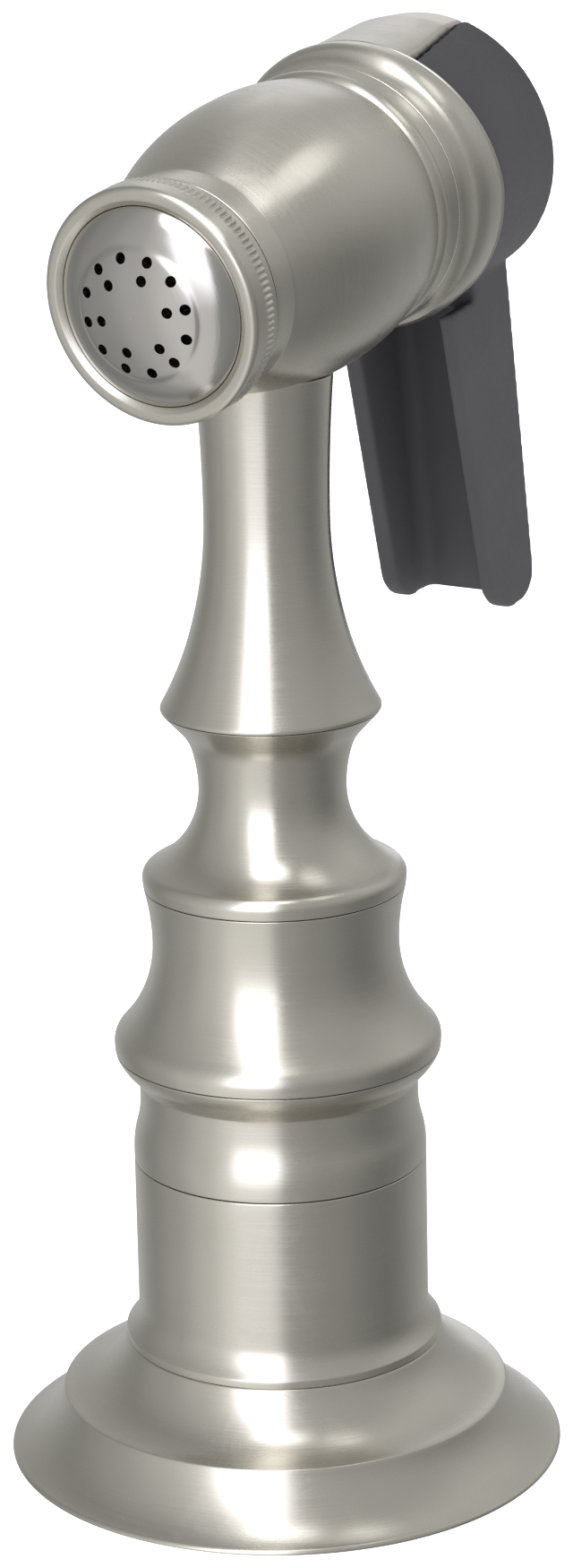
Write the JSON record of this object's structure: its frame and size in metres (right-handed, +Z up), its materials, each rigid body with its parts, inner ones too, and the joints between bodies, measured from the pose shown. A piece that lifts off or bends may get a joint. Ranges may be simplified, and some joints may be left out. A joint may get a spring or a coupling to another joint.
{
  "type": "kitchen hand spray",
  "caption": "Kitchen side spray with turned handle, barrel head, drilled spray face and squeeze lever, standing in its flanged deck holder.",
  "frame": {"origin": "centre of the threaded hub at the underside of the deck flange", "axes": "+Z up the holder and handle, spray face towards -Y and a little down, squeeze lever towards +Y"},
  "size_m": [0.06, 0.0745, 0.151],
  "materials": {
    "nickel": "satin nickel plating, softly brushed",
    "face_nickel": "satin nickel, finely turned",
    "raw_brass": "machined",
    "spring_steel": "bright drawn stainless",
    "charcoal_plastic": "fine moulded texture",
    "bush_plastic": "smooth moulded",
    "gasket_rubber": "smooth moulded"
  },
  "bodies": {
    "holder": {"deck_flange": "nickel", "flange_gasket": "gasket_rubber", "holder_sleeve": "nickel"},
    "bush": {"guide_bush": "bush_plastic"},
    "spray": {"lower_cup": "nickel", "hose_spigot": "raw_brass", "hose_washer": "gasket_rubber", "inner_tube": "raw_brass", "handle_bell": "nickel", "handle_waist": "nickel", "handle_trumpet": "nickel", "barrel": "nickel", "valve_body": "raw_brass", "valve_seat": "gasket_rubber", "spring_plug": "raw_brass", "valve_spring": "spring_steel", "bonnet": "raw_brass", "stem_seal": "gasket_rubber", "hinge_collar": "nickel", "bonnet_nut": "raw_brass", "pivot_pin": "spring_steel", "face_cap": "nickel", "spray_plate": "face_nickel", "face_gasket": "gasket_rubber"},
    "lever": {"lever": "charcoal_plastic"},
    "stem": {"valve_stem": "spring_steel", "poppet_washer": "gasket_rubber"}
  },
  "joints": [
    {"name": "spray_turn", "type": "hinge", "parent": "holder", "child": "bush", "pos_m": [0, 0, 0.023], "axis": [0, 0, 1], "continuous": true},
    {"name": "spray_lift", "type": "slide", "parent": "bush", "child": "spray", "axis": [0, 0, 1], "range_m": [0, 0.03]},
    {"name": "lever_squeeze", "type": "hinge", "parent": "spray", "child": "lever", "pos_m": [0, 0.02578, 0.14652], "axis": [-1, 0, 0], "range_deg": [0, 10], "stiffness_Nm_per_rad": 0.3, "springref_deg": -8.59},
    {"name": "stem_slide", "type": "slide", "parent": "spray", "child": "stem", "axis": [0, -0.9866, -0.1633], "range_m": [0, 0.0022], "deforming": ["valve_spring"]}
  ],
  "couplings": [
    {"joint": "stem_slide", "follows": "lever_squeeze", "m_per_rad": 0.0113}
  ]
}
